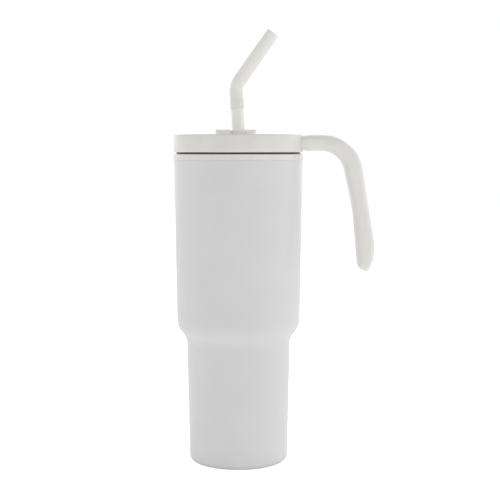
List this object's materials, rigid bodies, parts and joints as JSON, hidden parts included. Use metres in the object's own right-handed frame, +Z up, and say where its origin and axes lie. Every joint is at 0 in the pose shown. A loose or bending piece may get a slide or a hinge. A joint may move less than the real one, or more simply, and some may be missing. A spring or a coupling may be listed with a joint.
{
  "type": "insulated tumbler with lid",
  "caption": "Double-walled insulated tumbler with a stepped foot, screw lid carrying a side handle, rotating sip closure and bent drinking straw.",
  "frame": {"origin": "centre of the base pad's lower face, on the tumbler's axis, where it stands on a table", "axes": "+Z up along the tumbler's axis; +X towards the handle; +Y completes the right-handed frame"},
  "size_m": [0.1524, 0.098, 0.328],
  "materials": {
    "powder_coat": "matte powder coat",
    "steel": "brushed stainless",
    "lid_plastic": "satin moulded polypropylene",
    "straw_plastic": "satin extruded polypropylene",
    "straw_silicone": "matte food-grade silicone",
    "clear_silicone": "matte translucent silicone",
    "black_silicone": "matte black silicone",
    "solder_glass": "glossy solder glass",
    "getter_metal": "pressed metal powder"
  },
  "bodies": {
    "cup": {"outer_shell": "powder_coat", "shell_floor": "steel", "vacuum_seal": "solder_glass", "getter_cup": "steel", "getter": "getter_metal", "base_disc": "steel", "base_pad": "clear_silicone", "inner_liner": "steel", "rim_collar": "lid_plastic"},
    "lid_seal": {"lid_gasket": "black_silicone"},
    "lid": {"lid_top": "lid_plastic", "lid_plug": "lid_plastic", "handle": "lid_plastic", "handle_screws": "steel"},
    "closure": {"closure_dial": "lid_plastic", "sip_seal": "clear_silicone", "vent_seal": "clear_silicone", "hub_oring": "clear_silicone", "dial_retainer": "steel"},
    "grommet": {"straw_grommet": "clear_silicone"},
    "straw": {"straw_tube": "straw_plastic", "straw_tip": "straw_silicone"}
  },
  "joints": [
    {"name": "lid_rise", "type": "slide", "parent": "cup", "child": "lid_seal", "axis": [0, 0, 1], "range_m": [0, 0.0301]},
    {"name": "lid_turn", "type": "hinge", "parent": "lid_seal", "child": "lid", "pos_m": [0, 0, 0.2364], "axis": [0, 0, 1], "range_deg": [0, 720]},
    {"name": "closure_turn", "type": "hinge", "parent": "lid", "child": "closure", "pos_m": [0, 0, 0.2464], "axis": [0, 0, 1], "range_deg": [0, 90]},
    {"name": "straw_turn", "type": "hinge", "parent": "closure", "child": "grommet", "pos_m": [0.00062, 0, 0.2464], "axis": [-0.061, 0, 0.9981], "continuous": true},
    {"name": "straw_lift", "type": "slide", "parent": "grommet", "child": "straw", "axis": [-0.061, 0, 0.9981], "range_m": [-0.0025, 0.24]}
  ],
  "couplings": [
    {"joint": "lid_rise", "follows": "lid_turn", "m_per_rad": 0.0023873}
  ]
}
